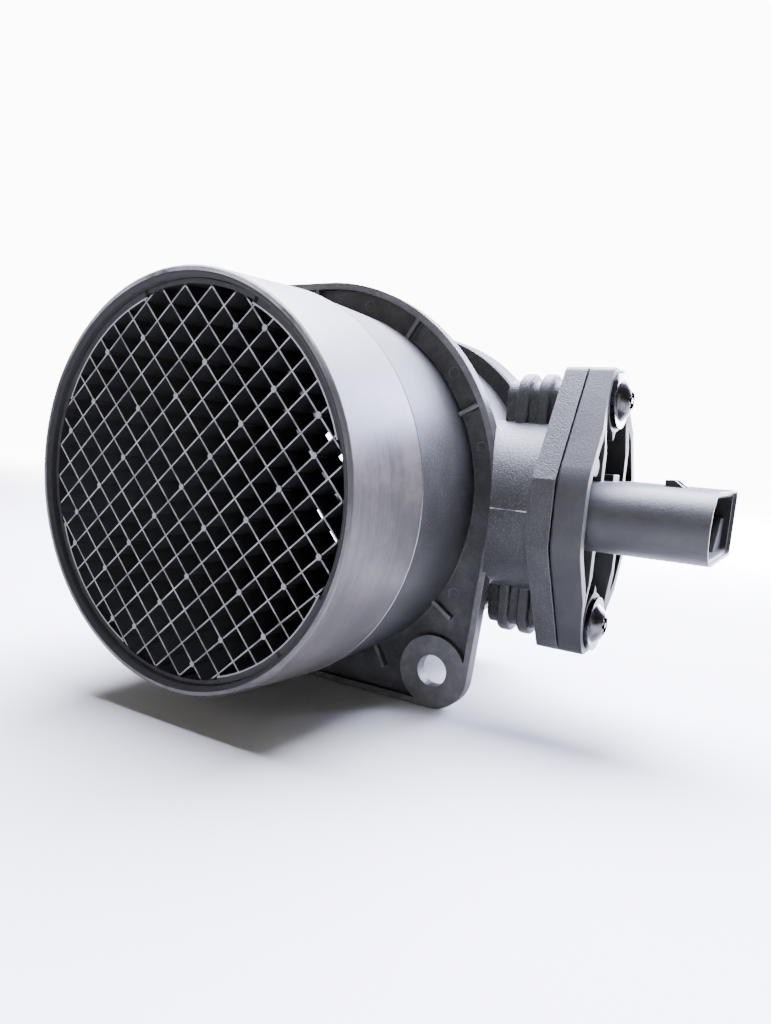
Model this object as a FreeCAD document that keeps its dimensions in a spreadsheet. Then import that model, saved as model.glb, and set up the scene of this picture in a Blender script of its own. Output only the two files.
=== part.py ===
import FreeCAD, Part
import math
import os
import re
import Sketcher

# Plug-in mass airflow sensor in its moulded duct, in millimetres.
# Origin: on the duct's axis, in the plane of the flange's front contact face.
# +Y is the direction of the air, +X the side of the sensor and its connector, +Z up.

Vector = FreeCAD.Vector
Rotation = FreeCAD.Rotation

# Driving dimensions

SIZES = {
    # duct in front of the flange
    "inlet_length": 46.8,
    "lip_round": 0.4,
    "mouth_recess_r": 40.35,
    "tip_wall": 2.05,
    "step_distance": 24.0,
    "step_wall": 3.22,
    "step_depth": 0.3,
    "root_wall": 2.15,
    "lip_lead": 0.71,
    "mouth_chamfer": 0.7,
    "grid_seat": 2.05,
    # duct behind the flange
    "throat_start": 4.0,
    "throat_taper": 14.0,
    "throat_drop": 1.3,
    "tail_wall": 2.4,
    "collar_start": 42.2,
    "collar_rise": 4.7,
    "collar_wall": 2.6,
    "collar_shoulder": 2.4,
    "duct_length_behind": 52.8,
    "outlet_round": 0.5,
    # mounting flange
    "flange_reach": 6.5,
    "flange_thickness": 3.2,
    "ear_reach": 11.859,
    "ear_angle": 47.535,
    "ear_r": 9.0,
    "flange_rim": 1.5,
    "flange_pocket": 2.0,
    "flange_boss_r": 8.5,
    "flange_hole_r": 3.75,
    "flange_rib": 0.9,
    "flange_rib_drop": 0.2,
    "ejector_mark_r": 1.25,
    "ejector_mark_depth": 0.15,
    # protective grid in the mouth
    "grid_setback": 1.8,
    "grid_depth": 7.2,
    "grid_ring_wall": 0.9,
    "grid_sector_wall": 0.7,
    "grid_sector_half_angle": 24.0,
    "grid_fit": 0.15,
    "grid_pitch": 5.0,
    "grid_bar": 0.32,
    "grid_turn": 41.36,
    "grid_knot_r": 0.62,
    "grid_knot_rise": 0.25,
    # seat for the plug-in sensor
    "sensor_y": 11.8,
    "neck_r": 19.0,
    "neck_root": 4.0,
    "neck_facet_inset": 0.1,
    "neck_facet_run": 1.5,
    "seat_reach": 10.0,
    "seat_thickness": 4.8,
    "seat_half_width": 19.0,
    "seat_flat_half": 7.0,
    "seat_end_half": 5.1,
    "seat_half_height": 30.8,
    "seat_corner_r": 2.0,
    "neck_bore_r": 16.2,
    "neck_bore_floor": 5.0,
    "arm_way_fit": 0.3,
    # ribbed bosses that take the two screws
    "screw_spread": 24.35,
    "boss_back": 3.2,
    "boss_core_r": 3.7,
    "boss_ring_r": 5.2,
    "boss_ring_width": 2.8,
    "boss_ring_first": 2.6,
    "boss_ring_step": 4.8,
    "boss_ring_round": 0.7,
    "screw_bore_end": 1.8,
    # cover flange of the sensor
    "cover_thickness": 6.6,
    "cover_relief": 0.4,
    "cover_relief_inset": 1.1,
    "cover_corner_r": 12.0,
    "cover_floor": 1.6,
    "cover_rim": 2.0,
    "cover_rib": 1.9,
    "cover_rib_offset": 8.9,
    "screw_pad_r": 6.8,
    "screw_seat_drop": 1.15,
    "screw_seat_r": 6.6,
    "seat_dish_r": 14.0,
    "seat_dish_over": 0.2,
    "gusset_half": 3.2,
    "gusset_reach": 8.6,
    "stud_r": 1.8,
    "stud_offset_y": 14.3,
    "stud_z": 10.0,
    "lug_offset": 2.0,
    "lug_half": 2.3,
    "lug_rise": 1.4,
    # connector shell
    "shell_length": 22.7,
    "shell_near_y": 16.9,
    "shell_far_y": 18.2,
    "shell_half_height": 7.2,
    "shell_corner_r": 1.4,
    "shell_wall": 1.3,
    "shell_chamfer": 0.8,
    "socket_depth": 17.0,
    "key_width": 11.0,
    "key_height": 6.9,
    "key_slope": 7.1,
    "key_setback": 2.0,
    "latch_setback": 11.5,
    "latch_top": 1.8,
    "latch_slope": 2.0,
    "latch_rise": 1.4,
    "latch_rib": 1.7,
    "latch_gap": 2.6,
    # plug, seal groove and probe arm
    "plug_fit": 0.2,
    "plug_end_gap": 0.3,
    "seal_setback": 4.5,
    "seal_section_r": 1.3,
    "seal_fit": 0.05,
    "arm_tip_x": 9.0,
    "arm_y": 15.0,
    "arm_half_width": 10.0,
    "arm_half_thickness": 6.0,
    "arm_nose": 0.8,
    # electronics pocket
    "pocket_start_x": 14.0,
    "pocket_end_x": 38.0,
    "pocket_half_width": 8.2,
    "lid_thickness": 1.2,
    "lid_ledge": 0.9,
    "lid_fit": 0.1,
    "base_thickness": 1.0,
    "board_thickness": 1.0,
    "board_fit": 0.3,
    # bypass channel with the sensing element
    "channel_half_width": 4.5,
    "channel_depth": 3.2,
    "channel_land": 2.0,
    "carrier_half_width": 3.0,
    "carrier_thickness": 0.8,
    "carrier_tip_x": 2.0,
    "carrier_overlap": 3.0,
    "carrier_fit": 0.1,
    "element_length": 3.2,
    "element_width": 2.4,
    "element_thickness": 0.4,
    # parts on the board
    "chip_side": 5.0,
    "chip_height": 1.2,
    "chip_x": 24.0,
    "capacitor_length": 2.0,
    "capacitor_width": 1.25,
    "capacitor_height": 1.0,
    "capacitor_step": 3.0,
    "capacitor_x": 20.0,
    # connector pins
    "pin_side": 0.64,
    "pin_pitch": 2.5,
    "pin_fit": 0.02,
    "pin_overlap": 5.0,
    "pin_reach": 12.5,
    # air temperature bead in its notch
    "notch_start_x": 6.2,
    "notch_length": 6.0,
    "notch_depth": 3.4,
    "bead_r": 1.0,
    "lead_r": 0.25,
    "lead_seat": 1.0,
    "lead_fit": 0.03,
    # tamper-proof screws
    "screw_flange_r": 5.95,
    "screw_flange_thickness": 1.1,
    "screw_dome_r": 4.45,
    "screw_dome_rise": 2.3,
    "screw_core_r": 2.0,
    "screw_fit": 0.05,
    "screw_clearance": 0.6,
    "screw_end_gap": 1.5,
    "recess_r": 1.65,
    "recess_lobe_r": 0.55,
    "recess_depth": 1.7,
    "recess_pin_r": 0.6,
    "recess_pin_drop": 0.3,
}

RIB_ANGLES = (94.0, 57.5, 27.0, -34.0, -61.0, 207.0, 237.5, 146.0, 119.0)
EJECTOR_ANGLES = (75.5, 39.3, 15.9, -28.4, -68.2, 195.9, 219.3, 151.6, 111.8)
PIN_COUNT = 5
CAPACITOR_COUNT = 3
RECESS_LOBES = 6
KNOTS = (
    (0, -7), (-4, -6), (-2, -6), (2, -6), (0, -4),
    (-6, -3), (-4, -3), (-2, -3), (2, -3), (4, -3), (6, -3),
    (-7, -2), (7, -2), (0, 0), (-6, 0), (-4, 0), (-2, 0), (2, 0), (4, 0), (6, 0),
    (-7, 2), (7, 2), (0, 2), (-6, 3), (-4, 3), (-2, 3), (2, 3), (4, 3), (6, 3),
    (0, 5), (-4, 6), (-2, 6), (2, 6), (4, 6), (0, 7),
)

# Values worked out from the driving dimensions

DERIVED = {
    "inlet_tip_r": "mouth_recess_r + tip_wall",
    "step_r": "mouth_recess_r + step_wall",
    "inlet_root_r": "mouth_recess_r + root_wall",
    "mouth_r": "mouth_recess_r + lip_lead",
    "front_bore_r": "mouth_recess_r - grid_seat",
    "throat_r": "front_bore_r - throat_drop",
    "tail_r": "throat_r + tail_wall",
    "collar_r": "tail_r + collar_rise",
    "flange_r": "inlet_root_r + flange_reach",
    "ear_x": "(inlet_root_r + ear_reach) * cos(ear_angle)",
    "ear_z": "(inlet_root_r + ear_reach) * sin(ear_angle)",
    "grid_ring_r": "mouth_recess_r - grid_fit",
    "neck_inner_x": "throat_r - neck_root",
    "neck_facet_x": "flange_r - neck_facet_inset",
    "seat_back_x": "flange_r + seat_reach",
    "neck_bore_end_x": "seat_back_x - neck_bore_floor",
    "boss_start_x": "flange_r - boss_back",
    "boss_ring_first_x": "boss_start_x + boss_ring_first",
    "screw_bore_x": "boss_start_x + screw_bore_end",
    "seal_x": "neck_bore_end_x + seal_setback",
    "seat_face_x": "seat_back_x + seat_thickness",
    "cover_face_x": "seat_face_x + cover_thickness",
    "screw_seat_x": "cover_face_x - screw_seat_drop",
    "seat_dish_end_r": "seat_dish_r + seat_dish_over * (seat_dish_r - screw_seat_r) / screw_seat_drop",
    "plug_r": "neck_bore_r - plug_fit",
    "recess_floor": "inlet_length - grid_setback - grid_depth",
    "shell_tip_x": "cover_face_x + shell_length",
    "latch_x": "shell_tip_x - latch_setback",
    "socket_floor_x": "shell_tip_x - socket_depth",
    "shell_centre_y": "sensor_y + (shell_far_y - shell_near_y) / 2",
    "board_top": "0 - pin_side / 2",
    "base_floor": "board_top - board_thickness - base_thickness",
    "plug_end_x": "neck_bore_end_x + plug_end_gap",
    "seal_r": "neck_bore_r - seal_fit - seal_section_r",
    "groove_r": "seal_r - seal_section_r - seal_fit",
}

doc = FreeCAD.newDocument("mass_airflow_sensor")
sheet = doc.addObject("Spreadsheet::Sheet", "Sizes")


def link(text):
    """The same expression with each size pointing at its cell."""
    def cell(match):
        word = match.group()
        return "Sizes." + word if word in SIZES or word in DERIVED else word
    return re.sub(r"[a-z][a-z_0-9]*", cell, text)


def fill_sheet():
    row = 0
    for name, number in SIZES.items():
        row += 1
        sheet.set("A%d" % row, name)
        sheet.set("B%d" % row, str(number))
        sheet.setAlias("B%d" % row, name)
    for name, text in DERIVED.items():
        row += 1
        sheet.set("A%d" % row, name)
        sheet.set("B%d" % row, "=" + text)
        sheet.setAlias("B%d" % row, name)
    doc.recompute()


def value(text):
    """The number that an expression of sizes has now."""
    return float(sheet.evalExpression(link(text)))


fill_sheet()

# Tools for making features that follow the sheet

TURNS = {
    "x": Rotation(Vector(0, 1, 0), 90),
    "y": Rotation(Vector(1, 0, 0), -90),
    "z": Rotation(),
}


def bind(feature, **sizes):
    for prop, text in sizes.items():
        feature.setExpression(prop, link(text))


def place(feature, x, y, z):
    for letter, text in (("x", x), ("y", y), ("z", z)):
        feature.setExpression(".Placement.Base." + letter, link(text))


def cylinder(name, axis, radius, length, x="0", y="0", z="0"):
    solid = doc.addObject("Part::Cylinder", name)
    solid.Placement = FreeCAD.Placement(Vector(), TURNS[axis])
    bind(solid, Radius=radius, Height=length)
    place(solid, x, y, z)
    return solid


def cone(name, axis, first, last, length, x="0", y="0", z="0"):
    """A blunt cone whose radius runs from first to last."""
    solid = doc.addObject("Part::Cone", name)
    solid.Placement = FreeCAD.Placement(Vector(), TURNS[axis])
    bind(solid, Radius1=first, Radius2=last, Height=length)
    place(solid, x, y, z)
    return solid


def block(name, x, y, z):
    """A box between two expressions along each axis."""
    solid = doc.addObject("Part::Box", name)
    spans = [(low, "(%s) - (%s)" % (high, low)) for low, high in (x, y, z)]
    bind(solid, Length=spans[0][1], Width=spans[1][1], Height=spans[2][1])
    place(solid, spans[0][0], spans[1][0], spans[2][0])
    return solid


def fuse(name, pieces):
    joined = doc.addObject("Part::MultiFuse", name)
    joined.Shapes = pieces
    joined.Refine = True
    return joined


def cut(name, base, tool):
    result = doc.addObject("Part::Cut", name)
    result.Base = base
    result.Tool = tool
    result.Refine = True
    return result


def common(name, base, tool):
    result = doc.addObject("Part::MultiCommon", name)
    result.Shapes = [base, tool]
    return result


def origin_plane(body, role):
    for feature in body.Origin.OriginFeatures:
        if feature.Role == role:
            return feature


def new_sketch(body, name, role, offset="0"):
    sketch = body.newObject("Sketcher::SketchObject", name)
    sketch.AttachmentSupport = (origin_plane(body, role), [""])
    sketch.MapMode = "FlatFace"
    sketch.setExpression(".AttachmentOffset.Base.z", link(offset))
    return sketch


def pin_point(sketch, edge, end, x, y):
    """Holds a point of the sketch at two expressions."""
    for kind, text in (("DistanceX", x), ("DistanceY", y)):
        index = sketch.addConstraint(Sketcher.Constraint(kind, -1, 1, edge, end, value(text)))
        sketch.setExpression("Constraints[%d]" % index, link(text))


def outline(sketch, corners):
    """A closed outline with straight sides, each corner held by the sheet."""
    points = [Vector(value(x), value(y), 0) for x, y in corners]
    count = len(points)
    for index in range(count):
        sketch.addGeometry(Part.LineSegment(points[index], points[(index + 1) % count]), False)
    for index in range(count):
        following = (index + 1) % count
        sketch.addConstraint(Sketcher.Constraint("Coincident", index, 2, following, 1))
        pin_point(sketch, index, 1, *corners[index])


def revolved(name, role, corners):
    """A body turned about the vertical axis of its sketch."""
    body = doc.addObject("PartDesign::Body", name)
    sketch = new_sketch(body, name + "_section", role)
    outline(sketch, corners)
    turn = body.newObject("PartDesign::Revolution", name + "_turn")
    turn.Profile = sketch
    turn.ReferenceAxis = (sketch, ["V_Axis"])
    turn.Angle = 360.0
    return body


# Each plane's normal, as the sign of the global axis that it faces
PLANE_SIGN = {"XY_Plane": 1, "YZ_Plane": 1, "XZ_Plane": -1}


def pad(body, sketch, role, length):
    feature = body.newObject("PartDesign::Pad", sketch.Name + "_pad")
    feature.Profile = sketch
    feature.Reversed = PLANE_SIGN[role] < 0
    bind(feature, Length=length)
    return feature


def prism(name, role, corners, start, length):
    """A straight-sided outline raised along the plane's global axis."""
    body = doc.addObject("PartDesign::Body", name)
    offset = start if PLANE_SIGN[role] > 0 else "0 - (%s)" % start
    sketch = new_sketch(body, name + "_outline", role, offset)
    outline(sketch, corners)
    pad(body, sketch, role, length)
    return body


def round_edges(body, name, chosen, radius):
    """Rounds the edges of a body's last feature that a test picks."""
    doc.recompute()
    base = body.Tip
    names = []
    for index, edge in enumerate(base.Shape.Edges):
        if chosen(edge):
            names.append("Edge%d" % (index + 1))
    feature = body.newObject("PartDesign::Fillet", name)
    feature.Base = (base, names)
    bind(feature, Radius=radius)
    return feature


def runs_along(edge, letter):
    """True for a straight edge that runs along one global axis."""
    if not isinstance(edge.Curve, Part.Line):
        return False
    return abs(abs(getattr(edge.Curve.Direction, letter)) - 1) < 1e-6


# Duct: one turned section about the air's axis

duct_wall = revolved("duct_wall", "XY_Plane", [
    ("mouth_r", "0 - inlet_length"),
    ("inlet_tip_r - lip_round", "0 - inlet_length"),
    ("inlet_tip_r", "lip_round - inlet_length"),
    ("step_r", "0 - step_distance"),
    ("step_r - step_depth", "step_depth - step_distance"),
    ("inlet_root_r", "flange_pocket"),
    ("inlet_root_r", "flange_thickness"),
    ("tail_r", "flange_thickness"),
    ("tail_r", "collar_start"),
    ("collar_r - outlet_round", "collar_start"),
    ("collar_r", "collar_start + outlet_round"),
    ("collar_r", "duct_length_behind - outlet_round"),
    ("collar_r - outlet_round", "duct_length_behind"),
    ("collar_r - collar_wall", "duct_length_behind"),
    ("collar_r - collar_wall", "collar_start + collar_shoulder + collar_r - collar_wall - throat_r"),
    ("throat_r", "collar_start + collar_shoulder"),
    ("throat_r", "throat_start + throat_taper"),
    ("front_bore_r", "throat_start"),
    ("front_bore_r", "0 - recess_floor"),
    ("mouth_recess_r", "0 - recess_floor"),
    ("mouth_recess_r", "mouth_chamfer - inlet_length"),
])

# Everything inside the duct's outer skin, to trim what is joined on from outside
duct_space = revolved("duct_space", "XY_Plane", [
    ("0", "0 - inlet_length"),
    ("front_bore_r", "0 - inlet_length"),
    ("front_bore_r", "throat_start"),
    ("throat_r", "throat_start + throat_taper"),
    ("throat_r", "duct_length_behind"),
    ("0", "duct_length_behind"),
])

# Mounting flange: a disc drawn out to two ears on a diagonal


def flange_outline(sketch, inset):
    """Two wide arcs and two ear arcs, joined by tangent lines."""
    wide = value("flange_r - (%s)" % inset)
    small = value("ear_r - (%s)" % inset)
    ear = Vector(value("ear_x"), -value("ear_z"), 0)
    lean = math.acos((wide - small) / ear.Length)
    heading = math.atan2(ear.y, ear.x)

    def on(centre, radius, angle):
        return centre + Vector(math.cos(angle), math.sin(angle), 0) * radius

    def arc(centre, radius, first, last):
        circle = Part.Circle(centre, Vector(0, 0, 1), radius)
        return sketch.addGeometry(Part.ArcOfCircle(circle, first, last), False)

    half_turn = math.pi
    low = heading - lean
    high = heading + lean
    middle = Vector()
    arcs = [
        arc(ear, small, low, high),
        arc(middle, wide, high, low + half_turn),
        arc(ear * -1, small, low + half_turn, high + half_turn),
        arc(middle, wide, high + half_turn, low + 2 * half_turn),
    ]
    ends = [
        (on(ear, small, high), on(middle, wide, high)),
        (on(middle, wide, low + half_turn), on(ear * -1, small, low + half_turn)),
        (on(ear * -1, small, high + half_turn), on(middle, wide, high + half_turn)),
        (on(middle, wide, low), on(ear, small, low)),
    ]
    for index, (first, last) in enumerate(ends):
        line = sketch.addGeometry(Part.LineSegment(first, last), False)
        following = arcs[(index + 1) % 4]
        sketch.addConstraint(Sketcher.Constraint("Tangent", arcs[index], 2, line, 1))
        sketch.addConstraint(Sketcher.Constraint("Tangent", line, 2, following, 1))
    for index in (1, 3):
        sketch.addConstraint(Sketcher.Constraint("Coincident", arcs[index], 3, -1, 1))
    pin_point(sketch, arcs[0], 3, "ear_x", "0 - ear_z")
    pin_point(sketch, arcs[2], 3, "0 - ear_x", "ear_z")
    radii = ((0, "ear_r"), (1, "flange_r"), (2, "ear_r"), (3, "flange_r"))
    for index, radius in radii:
        text = "%s - (%s)" % (radius, inset)
        held = sketch.addConstraint(Sketcher.Constraint("Radius", arcs[index], value(text)))
        sketch.setExpression("Constraints[%d]" % held, link(text))


flange_plate = doc.addObject("PartDesign::Body", "flange_plate")
flange_face = new_sketch(flange_plate, "flange_face", "XZ_Plane")
flange_outline(flange_face, "0")
pad(flange_plate, flange_face, "XZ_Plane", "flange_thickness")
pocket_face = new_sketch(flange_plate, "flange_pocket_face", "XZ_Plane")
flange_outline(pocket_face, "flange_rim")
hollow = flange_plate.newObject("PartDesign::Pocket", "flange_hollow")
hollow.Profile = pocket_face
hollow.Reversed = False
bind(hollow, Length="flange_pocket")
doc.recompute()

# Ribs run from the duct to the rim
flange_ribs = []
for angle in RIB_ANGLES:
    rib = doc.addObject("Part::Box", "flange_rib")
    bind(rib, Length="flange_r - flange_rim / 2 - tail_r", Width="flange_thickness - flange_rib_drop",
         Height="flange_rib")
    out = Vector(math.cos(math.radians(angle)), 0, math.sin(math.radians(angle)))
    rib.Placement.Rotation = Rotation(Vector(0, 1, 0), -angle)
    place(
        rib,
        "tail_r * %.6f + flange_rib / 2 * %.6f" % (out.x, out.z),
        "flange_rib_drop",
        "tail_r * %.6f - flange_rib / 2 * %.6f" % (out.z, out.x),
    )
    flange_ribs.append(rib)

ears = []
ear_holes = []
for sign in ("", "0 - "):
    where = (sign + "ear_x", "0", ("0 - " if sign == "" else "") + "ear_z")
    ears.append(cylinder("ear_boss", "y", "flange_boss_r", "flange_thickness", *where))
    hole_start = "0 - flange_thickness"
    ear_holes.append(cylinder("ear_hole", "y", "flange_hole_r", "3 * flange_thickness",
                              where[0], hole_start, where[2]))

ejector_marks = []
for angle in EJECTOR_ANGLES:
    reach = "(flange_r + inlet_root_r - flange_rim) / 2"
    ejector_marks.append(cylinder(
        "ejector_mark", "y", "ejector_mark_r", "flange_pocket",
        "%s * %.6f" % (reach, math.cos(math.radians(angle))),
        "ejector_mark_depth",
        "%s * %.6f" % (reach, math.sin(math.radians(angle))),
    ))

# Neck and plate that seat the plug-in sensor

neck = cylinder("neck_drum", "x", "neck_r", "seat_back_x - neck_inner_x + seat_thickness / 2",
                "neck_inner_x", "sensor_y")
# In front of the flange the neck starts just outside the flange's own round
neck_relief = revolved("neck_relief", "XY_Plane", [
    ("0", "flange_thickness"),
    ("neck_facet_x", "flange_thickness"),
    ("neck_facet_x + neck_facet_run", "sensor_y - neck_r"),
    ("neck_facet_x + neck_facet_run", "sensor_y - 2 * neck_r"),
    ("0", "sensor_y - 2 * neck_r"),
])
neck_back = cut("neck", neck, neck_relief)


def seat_corners(inset):
    """Six-sided plate with long slanted sides: corners in Y and Z, moved in by an inset."""
    rise = "(seat_half_height - %s)" % inset
    wide = "(seat_half_width - %s)" % inset
    run = "(seat_half_width - seat_end_half)"
    climb = "(seat_half_height - seat_flat_half)"
    slant = "sqrt(%s * %s + %s * %s)" % (run, run, climb, climb)
    end = "(seat_end_half - %s * (%s - %s) / %s)" % (inset, slant, run, climb)
    flat = "(seat_flat_half - %s * (%s - %s) / %s)" % (inset, slant, climb, run)
    quarter = [(wide, flat), (end, rise)]
    corners = [("sensor_y - " + y, z) for y, z in quarter]
    corners += [("sensor_y + " + y, z) for y, z in reversed(quarter)]
    corners += [("sensor_y + " + y, "0 - " + z) for y, z in quarter]
    corners += [("sensor_y - " + y, "0 - " + z) for y, z in reversed(quarter)]
    return corners


def is_end_corner(edge):
    return runs_along(edge, "x") and abs(edge.CenterOfMass.z) > value("screw_spread")


def is_flat_corner(edge):
    return runs_along(edge, "x") and abs(edge.CenterOfMass.z) < value("screw_spread")


seat_plate = prism("seat_plate", "YZ_Plane", seat_corners("0"), "seat_back_x", "seat_thickness")
round_edges(seat_plate, "seat_plate_ends", is_end_corner, "seat_corner_r")

# Ribbed bosses above and below the neck

boss_pieces = []
screw_bores = []


def arch(name, radius, x, length, sign):
    """Round about the screw and straight down to the neck."""
    low, high = ("0", "screw_spread") if sign == "" else ("0 - screw_spread", "0")
    crown = cylinder(name + "_crown", "x", radius, length, x, "sensor_y", sign + "screw_spread")
    leg = block(name + "_leg", (x, "%s + %s" % (x, length)),
                ("sensor_y - " + radius, "sensor_y + " + radius), (low, high))
    return fuse(name, [crown, leg])


for sign in ("", "0 - "):
    boss_pieces.append(arch("screw_boss", "boss_core_r", "boss_start_x",
                            "(seat_back_x - boss_start_x + seat_thickness / 2)", sign))
    for index in range(2):
        start = "(boss_ring_first_x + %d * boss_ring_step)" % index
        ring = arch("screw_boss_ring", "boss_ring_r", start, "boss_ring_width", sign)
        doc.recompute()
        edges = []
        for number, edge in enumerate(ring.Shape.Edges):
            box = edge.BoundBox
            if box.XLength < 1e-6 and abs(edge.CenterOfMass.z) > 1:
                edges.append((number + 1, value("boss_ring_round"), value("boss_ring_round")))
        rounded = doc.addObject("Part::Fillet", "screw_boss_ring_rounded")
        rounded.Base = ring
        rounded.Edges = edges
        boss_pieces.append(rounded)
    screw_bores.append(cylinder("screw_bore", "x", "screw_core_r + screw_fit",
                                "seat_face_x - screw_bore_x + 1", "screw_bore_x", "sensor_y",
                                sign + "screw_spread"))

# Housing: duct, flange, neck, bosses and seat in one moulding

neck_bore = cylinder("neck_bore", "x", "neck_bore_r", "seat_face_x + 1 - neck_bore_end_x",
                     "neck_bore_end_x", "sensor_y")
arm_way = block("arm_way", ("neck_inner_x / 2", "neck_bore_end_x + 1"),
                ("arm_y - arm_half_width - arm_way_fit", "arm_y + arm_half_width + arm_way_fit"),
                ("0 - arm_half_thickness - arm_way_fit", "arm_half_thickness + arm_way_fit"))
outside = fuse("housing_outside", [flange_plate, neck_back, seat_plate] + flange_ribs + ears + boss_pieces)
outside_trimmed = cut("housing_outside_trimmed", outside, duct_space)
housing_solid = fuse("housing_solid", [duct_wall, outside_trimmed])
housing_holes = fuse("housing_holes", [neck_bore, arm_way] + ear_holes + ejector_marks + screw_bores)
housing = cut("housing_cut", housing_solid, housing_holes)
housing.Label = "housing"

# Protective grid: two crossing sets of thin bars in a ring, with round knots

grid_front = "(grid_setback - inlet_length)"
bar_count = int(value("(grid_ring_r - grid_ring_wall) / grid_pitch"))
bars = []
for index in range(-bar_count, bar_count + 1):
    for quarter in (0, 90):
        bar = doc.addObject("Part::Box", "grid_bar")
        bind(bar, Length="2 * grid_ring_r", Width="grid_depth", Height="grid_bar")
        turn = value("grid_turn") + quarter
        along = Vector(math.cos(math.radians(turn)), 0, math.sin(math.radians(turn)))
        bar.Placement.Rotation = Rotation(Vector(0, 1, 0), -turn)
        shift = "(%d * grid_pitch - grid_bar / 2)" % index
        place(
            bar,
            "0 - grid_ring_r * %.6f - %s * %.6f" % (along.x, shift, along.z),
            grid_front,
            "0 - grid_ring_r * %.6f + %s * %.6f" % (along.z, shift, along.x),
        )
        bars.append(bar)
bar_mesh = fuse("grid_bars", bars)
ring_inside = cylinder("grid_ring_inside", "y", "grid_ring_r - grid_ring_wall / 2", "grid_depth",
                       "0", grid_front)
bars_trimmed = common("grid_bars_trimmed", bar_mesh, ring_inside)

ring_outside = cylinder("grid_ring_outside", "y", "grid_ring_r", "grid_depth", "0", grid_front)
ring_space = cylinder("grid_ring_space", "y", "grid_ring_r - grid_ring_wall", "2 * grid_depth",
                      "0", grid_front + " - grid_depth / 2")
ring = cut("grid_ring", ring_outside, ring_space)

sectors = []
for quarter in range(4):
    sector_out = cylinder("grid_sector_out", "y", "grid_ring_r - grid_ring_wall / 2", "grid_depth",
                          "0", grid_front)
    sector_in = cylinder("grid_sector_in", "y", "grid_ring_r - grid_ring_wall - grid_sector_wall",
                         "2 * grid_depth", "0", grid_front + " - grid_depth / 2")
    for piece in (sector_out, sector_in):
        bind(piece, Angle="2 * grid_sector_half_angle" if piece is sector_out else "360")
        start = value("grid_turn") + 90 * quarter - value("grid_sector_half_angle")
        spin = Rotation(Vector(0, 1, 0), -start)
        piece.Placement.Rotation = spin.multiply(TURNS["y"]).multiply(
            Rotation(Vector(0, 0, 1), -value("2 * grid_sector_half_angle")))
    sectors.append(cut("grid_sector", sector_out, sector_in))

knots = []
for across, down in KNOTS:
    turn = math.radians(value("grid_turn"))
    knots.append(cylinder(
        "grid_knot", "y", "grid_knot_r", "grid_depth / 2",
        "grid_pitch * %.6f" % (across * math.cos(turn) + down * math.sin(turn)),
        grid_front + " - grid_knot_rise",
        "grid_pitch * %.6f" % (across * math.sin(turn) - down * math.cos(turn)),
    ))
inlet_grid = fuse("inlet_grid_fused", [bars_trimmed, ring] + sectors + knots)
inlet_grid.Label = "inlet_grid"

# Sensor body: cover flange, connector shell, plug and probe arm in one moulding


def cover_plate(name, inset, start, length, corner):
    body = prism(name, "YZ_Plane", seat_corners(inset), start, length)
    round_edges(body, name + "_ends", is_end_corner, "seat_corner_r")
    round_edges(body, name + "_flats", is_flat_corner, corner)
    return body


cover_foot = cover_plate("cover_foot", "cover_relief_inset", "seat_face_x", "cover_relief",
                         "cover_corner_r - cover_relief_inset")
cover_slab = cover_plate("cover_slab", "0", "seat_face_x + cover_relief",
                         "cover_thickness - cover_relief", "cover_corner_r")
cover_hollow = cover_plate("cover_hollow", "cover_rim", "seat_face_x + cover_relief + cover_floor",
                           "cover_thickness", "cover_corner_r - cover_rim")

keep = []
for side in ("-", "+"):
    keep.append(block("cover_rib", ("seat_face_x", "cover_face_x"),
                      ("sensor_y %s cover_rib_offset - cover_rib / 2" % side,
                       "sensor_y %s cover_rib_offset + cover_rib / 2" % side),
                      ("0 - seat_half_height", "seat_half_height")))
seat_cuts = []
for sign in ("", "0 - "):
    level = sign + "screw_spread"
    keep.append(cylinder("screw_pad", "x", "screw_pad_r", "cover_thickness", "seat_face_x",
                         "sensor_y", level))
    inner, outer = "screw_spread - gusset_reach", "screw_spread - screw_pad_r / 2"
    ends = [("sensor_y", sign + "(" + inner + ")"),
            ("sensor_y + gusset_half", sign + "(" + outer + ")"),
            ("sensor_y - gusset_half", sign + "(" + outer + ")")]
    keep.append(prism("seat_gusset", "YZ_Plane", ends, "seat_face_x",
                      "cover_thickness - screw_seat_drop"))
    keep.append(block("cover_end", ("seat_face_x", "cover_face_x"),
                      ("sensor_y - cover_rib_offset", "sensor_y + cover_rib_offset"),
                      ("screw_spread", "seat_half_height") if sign == ""
                      else ("0 - seat_half_height", "0 - screw_spread")))
    # The rim and ribs dip in a wide shallow dish to the washer's seat
    seat_cuts.append(cone("screw_dish", "x", "screw_seat_r", "seat_dish_end_r",
                          "screw_seat_drop + seat_dish_over", "screw_seat_x", "sensor_y", level))
    seat_cuts.append(cylinder("screw_way", "x", "screw_core_r + screw_clearance",
                              "cover_thickness + 2", "seat_face_x - 1", "sensor_y", level))
keep.append(cylinder("cover_stud", "x", "stud_r", "cover_thickness", "seat_face_x",
                     "sensor_y - stud_offset_y", "stud_z"))
keep.append(block("cover_lug", ("seat_face_x", "cover_face_x"),
                  ("sensor_y + lug_offset - lug_half", "sensor_y + lug_offset + lug_half"),
                  ("0", "shell_half_height + lug_rise")))
kept = fuse("cover_kept", keep)
cover_pockets = cut("cover_pockets", cover_hollow, kept)

SHELL_FAR = "sensor_y + shell_far_y"
SHELL_NEAR = "sensor_y - shell_near_y"


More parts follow.
